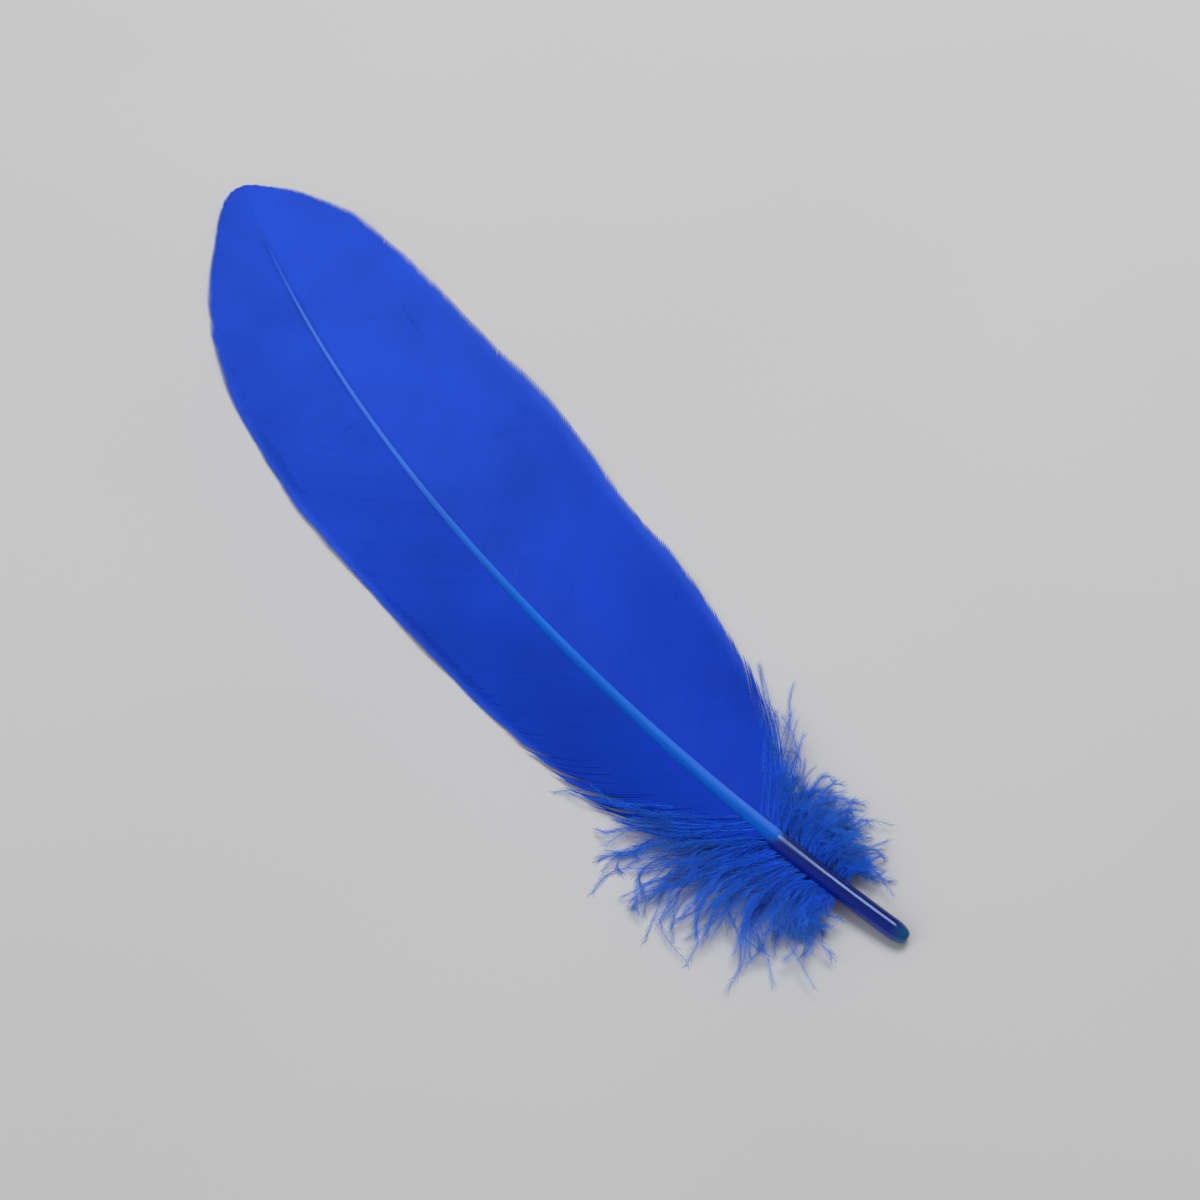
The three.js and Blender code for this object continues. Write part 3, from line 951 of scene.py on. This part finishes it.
def dyed_barb_keratin(dyes):
    """Acid-dyed keratin barbs, hooked in a web: a satin, nearly matt sheet. The colour is paler
    towards the tip, a painted highlight for the light from behind on the tip half. It is cloudy
    over some 24 mm, mottled over some 7 mm and a little uneven from barb to barb. The barbs' thin
    ends and the loose barbs of the foot are painted paler, for light that comes through them. A few
    faint creases are darker with painted shade, and so is the groove beside the outer half of the
    shaft, with the painted shadow of the raised shaft."""
    material, tree = new_material("dyed barb keratin")
    station, offset, share, tone, foot, groove = (
        add_node(tree, ATTRIBUTE, attribute_name=name, **NUMBER)
        for name in ("station", "offset", "share", "tone", "foot", "groove"))
    place = add_node(tree, COORDINATES, output="Object")

    # Paler towards the tip: a painted highlight for the light from behind on the tip half.
    tipward = {"Value": station, "From Min": 25 * MM, "From Max": 145 * MM}
    # Paler thin ends and loose foot barbs: painted light coming through them.
    rimward = {"Value": share, "From Min": 0.9, "From Max": 1.02, "To Max": 0.5}
    loose = {"Value": foot, "To Max": 0.7}
    base = dyes.vane_deep
    for ramp, dye in ((tipward, dyes.vane_pale), (rimward, dyes.vane_rim), (loose, dyes.down)):
        amount = add_node(tree, MAP, ramp, **S_CURVE)
        base = add_node(tree, MIX, {0: amount, 6: base, 7: dye}, **COLOURS)

    clouds = cloudiness(tree, place, 24 * MM, 0.91, 1.04)
    patches = cloudiness(tree, place, 7 * MM, -0.035, 0.03, detail=3.0)
    value = add_node(tree, MATHS, {0: clouds, 1: patches}, operation="ADD")
    # Painted shade in the creases, and below it the painted shadow of the raised shaft beside it.
    crease_shade = painted_crease_shade(tree, station, offset)
    # The painted shadow of the raised shaft: a thin dark line beside it.
    beside = add_node(tree, MATHS, {0: offset}, operation="ABSOLUTE")
    shaft_shadow = {"Value": beside, "From Min": 1.0 * MM, "From Max": 0.5 * MM}
    shaft_shadow = add_node(tree, MAP, {**shaft_shadow, "To Max": SHAFT_SHADOW}, **S_CURVE)
    for mark, factor in ((tone, BARB_UNEVENNESS), (crease_shade, CREASE_SHADE), (shaft_shadow, groove)):
        value = add_node(tree, MATHS, {0: mark, 1: factor, 2: value}, operation="MULTIPLY_ADD")
    finish_surface(tree, base, value, {
        "Roughness": 0.56, "IOR": KERATIN_IOR, "Specular IOR Level": 0.15,
        "Specular Tint": linear("a8bcff"),
    })
    return material


def dyed_horn(dyes, name, over_pith):
    """Dyed horn of the shaft, faintly streaked along it. Over white pith it is a satin turquoise,
    with painted light: darker on the narrow vane's side, as painted shade, and lighter on the broad
    vane's side, as a painted highlight. That highlight is paler still near its foot, and the shaft
    is paler towards the tip, where it takes on the barbs' blue. The bare quill is clear horn over a
    dark hollow, so it looks nearly black-blue, with painted light that comes through on its narrow
    vane's side. It is handled most at its end, which has a wet, crisp shine, and is duller towards
    the vanes. Both finishes have the same colours, so that no step shows where they meet."""
    material, tree = new_material(name)
    station, across, pith = (
        add_node(tree, ATTRIBUTE, attribute_name=key, **NUMBER)
        for key in ("station", "across", "pith"))

    # far_side is painted light coming through the quill's clear horn; lit is the side with the
    # painted highlight, and the other side has painted shade.
    far_side, end, lit, tipward, footward, fade = (
        add_node(tree, MAP, ramp, **S_CURVE) for ramp in (
            {"Value": across, "From Min": -0.05, "From Max": -0.95},
            {"Value": station, "From Min": 2.6 * MM, "From Max": 0.4 * MM},
            {"Value": across, "From Min": -0.4, "From Max": 0.6},
            {"Value": station, "From Min": 65 * MM, "From Max": 125 * MM},
            {"Value": station, "From Min": 55 * MM, "From Max": 24 * MM, "To Max": 0.6},
            {"Value": station, "From Min": 130 * MM, "From Max": 158 * MM},
        ))
    # Paler near the foot on the lit side, a brighter painted highlight, and paler towards the tip.
    pale = add_node(tree, MATHS, {0: footward, 1: lit, 2: tipward}, operation="MULTIPLY_ADD")
    clear, filled = dyes.quill, dyes.rachis
    for amount, dye in ((far_side, dyes.quill_side), (end, dyes.quill_end)):
        clear = add_node(tree, MIX, {0: amount, 6: clear, 7: dye}, **COLOURS)
    for amount, dye in ((lit, dyes.rachis_lit), (pale, dyes.rachis_pale), (fade, dyes.vane_pale)):
        filled = add_node(tree, MIX, {0: amount, 6: filled, 7: dye}, **COLOURS)
    base = add_node(tree, MIX, {0: pith, 6: clear, 7: filled}, **COLOURS)

    streak, streaks_across = HORN_STREAKS
    place = add_node(tree, COMBINE, {
        "X": add_node(tree, MATHS, {0: station, 1: streak}, operation="DIVIDE"),
        "Y": add_node(tree, MATHS, {0: across, 1: streaks_across}, operation="MULTIPLY"),
    })
    streaks = cloudiness(tree, place, 1.0, 0.9, 1.08, detail=3.0)
    roughness, gloss = 0.5, 0.14
    if not over_pith:
        worn = {"Value": station, "From Min": 10 * MM, "From Max": 21 * MM}
        worn = add_node(tree, MAP, {**worn, "To Min": 0.14, "To Max": 0.34}, **S_CURVE)
        roughness, gloss = worn, 1.0
    finish_surface(tree, base, streaks, {
        "Roughness": roughness, "IOR": KERATIN_IOR, "Specular IOR Level": gloss,
        "Specular Tint": linear("b0d2ff"),
    })
    return material


def dyed_down(dyes):
    """Dyed down: hair-thin barbules that are dull and let some light through, so that the ends
    look paler than the roots. A little sheen gives the edges of the tufts their soft, fuzzy
    look."""
    material, tree = new_material("dyed down")
    tip, tone = (
        add_node(tree, ATTRIBUTE, attribute_name=name, **NUMBER) for name in ("tip", "tone"))
    place = add_node(tree, COORDINATES, output="Object")
    tipward = add_node(tree, MAP, {"Value": tip}, **S_CURVE)
    base = add_node(tree, MIX, {0: tipward, 6: dyes.down, 7: dyes.down_tip}, **COLOURS)
    value = {0: tone, 1: DOWN_UNEVENNESS, 2: cloudiness(tree, place, 3 * MM, 0.93, 1.16)}
    value = add_node(tree, MATHS, value, operation="MULTIPLY_ADD")
    finish_surface(tree, base, value, {
        "Roughness": 0.6, "IOR": KERATIN_IOR, "Specular IOR Level": 0.12,
        "Sheen Weight": 0.35, "Sheen Roughness": 0.6, "Sheen Tint": linear("78b0ff"),
    })
    return material


def matt_table(stage):
    """A matt laminate table top: pale grey, without gloss, with the faintest cloudiness."""
    material, tree = new_material("matt laminate")
    place = add_node(tree, COORDINATES, output="Object")
    clouds = cloudiness(tree, place, 120 * MM, 0.985, 1.015)
    finish_surface(tree, stage.floor, clouds, {
        "Roughness": 0.75, "IOR": LAMINATE_IOR, "Specular IOR Level": 0.25,
    })
    return material


# ---------------------------------------------------------------- operators


class FEATHER_OT_shaft(bpy.types.Operator):
    """Build the quill and shaft"""

    bl_idname = "feather.shaft"
    bl_label = "Quill and Shaft"

    def execute(self, context):
        line = MiddleLine(context.scene.feather_shaft)
        finishes = [
            dyed_horn(context.scene.feather_dyes, "dyed clear horn", over_pith=False),
            dyed_horn(context.scene.feather_dyes, "dyed horn over pith", over_pith=True),
        ]
        add_piece("quill_and_shaft", shaft_mesh(line), finishes, "quill", "quill_shaft")
        return {"FINISHED"}


class FEATHER_OT_vanes(bpy.types.Operator):
    """Build the narrow and the broad vane, barb by barb"""

    bl_idname = "feather.vanes"
    bl_label = "Vanes"

    def execute(self, context):
        line = MiddleLine(context.scene.feather_shaft)
        material = dyed_barb_keratin(context.scene.feather_dyes)
        for name, vane in (("narrow_vane", NARROW_VANE), ("broad_vane", BROAD_VANE)):
            mesh = vane_mesh(line, vane, context.scene.feather_vanes, name + "_barbs")
            add_piece(name + "_barbs", mesh, [material], "vane", name)
        return {"FINISHED"}


class FEATHER_OT_down(bpy.types.Operator):
    """Build the loose down beside the quill"""

    bl_idname = "feather.down"
    bl_label = "Loose Down"

    def execute(self, context):
        line = MiddleLine(context.scene.feather_shaft)
        material = dyed_down(context.scene.feather_dyes)
        for tuft in TUFTS:
            mesh = down_mesh(line, tuft, context.scene.feather_down)
            add_piece(tuft.name, mesh, [material], "down", tuft.node)
        return {"FINISHED"}


class FEATHER_OT_stage(bpy.types.Operator):
    """Set up the table, the lights and the camera"""

    bl_idname = "feather.stage"
    bl_label = "Table, Lights and Camera"

    def execute(self, context):
        stage = context.scene.feather_stage
        line = MiddleLine(context.scene.feather_shaft)
        target = Vector(LOOK_AT) + Vector((line.origin[0], line.origin[1], 0.0))
        add_table(stage)
        add_camera(stage, target)
        add_lights(stage, target)
        return {"FINISHED"}


def add_table(stage):
    """A flat square table top at height 0."""
    mesh = bpy.data.meshes.new("table")
    corners = [(x * TABLE_HALF, y * TABLE_HALF, 0) for x, y in ((-1, -1), (1, -1), (1, 1), (-1, 1))]
    mesh.from_pydata(corners, [], [(0, 1, 2, 3)])
    mesh.materials.append(matt_table(stage))
    table = bpy.data.objects.new("table", mesh)
    bpy.context.scene.collection.objects.link(table)


def look_from(item, place, target):
    """Puts an object at a place and turns its -Z axis to the target."""
    item.location = place
    item.rotation_euler = (target - place).to_track_quat("-Z", "Y").to_euler()


def add_camera(stage, target):
    """The camera, at an elevation, azimuth and distance about its target."""
    level = np.cos(stage.elevation) * stage.distance
    away = Vector((
        np.sin(stage.azimuth) * level, -np.cos(stage.azimuth) * level,
        np.sin(stage.elevation) * stage.distance))
    data = bpy.data.cameras.new("camera")
    data.lens = stage.lens
    data.clip_start = CLIP_START
    camera = bpy.data.objects.new("camera", data)
    bpy.context.scene.collection.objects.link(camera)
    look_from(camera, target + away, target)
    bpy.context.scene.camera = camera


def add_lights(stage, target):
    """A large soft key light behind and to the left, a window-like light behind and to the right
    that gives the quill its long shine, a fill from the front left that shows in no reflection, and
    an even sky."""
    back = Vector((-np.sin(stage.azimuth), np.cos(stage.azimuth), 0.0))
    right = Vector((np.cos(stage.azimuth), np.sin(stage.azimuth), 0.0))
    for name, size, mirrored, (rightward, behind, above) in LIGHTS:
        data = bpy.data.lights.new(name, "AREA")
        data.energy = getattr(stage, name)
        data.shape = "SQUARE"
        data.size = size
        light = bpy.data.objects.new(name, data)
        light.visible_glossy = mirrored
        bpy.context.scene.collection.objects.link(light)
        place = back * behind + right * rightward + Vector((0, 0, above))
        look_from(light, target + place, target)
    world = bpy.data.worlds.new("sky")
    world.use_nodes = True
    sky = world.node_tree.nodes["Background"]
    sky.inputs["Color"].default_value = (*stage.sky_tint, 1)
    sky.inputs["Strength"].default_value = stage.sky
    bpy.context.scene.world = world
    bpy.context.scene.view_settings.view_transform = "Standard"


class FEATHER_PT_builder(bpy.types.Panel):
    """Sidebar panel that lists the feather's pieces and their settings"""

    bl_idname = "FEATHER_PT_builder"
    bl_label = "Goose Quill Feather"
    bl_space_type = "VIEW_3D"
    bl_region_type = "UI"
    bl_category = "Feather"

    def draw(self, context):
        layout = self.layout
        for operator, settings in BUILD_ORDER:
            box = layout.box()
            box.operator(operator.bl_idname)
            group = getattr(context.scene, settings)
            for key in group.__annotations__:
                box.prop(group, key)
        box = layout.box()
        for key in context.scene.feather_dyes.__annotations__:
            box.prop(context.scene.feather_dyes, key)


SETTINGS = {
    "feather_shaft": ShaftSizes,
    "feather_vanes": VaneSizes,
    "feather_down": DownSizes,
    "feather_dyes": Dyes,
    "feather_stage": StageSettings,
}
BUILD_ORDER = [
    (FEATHER_OT_shaft, "feather_shaft"),
    (FEATHER_OT_vanes, "feather_vanes"),
    (FEATHER_OT_down, "feather_down"),
    (FEATHER_OT_stage, "feather_stage"),
]
CLASSES = [*SETTINGS.values(), *(operator for operator, _ in BUILD_ORDER), FEATHER_PT_builder]


def register():
    for item in CLASSES:
        bpy.utils.register_class(item)
    for name, group in SETTINGS.items():
        setattr(bpy.types.Scene, name, PointerProperty(type=group))


def unregister():
    for name in SETTINGS:
        delattr(bpy.types.Scene, name)
    for item in reversed(CLASSES):
        bpy.utils.unregister_class(item)


def main():
    """Builds the feather and its stage."""
    register()
    bpy.ops.feather.shaft()
    bpy.ops.feather.vanes()
    bpy.ops.feather.down()
    bpy.ops.feather.stage()


if __name__ == "__main__":
    main()
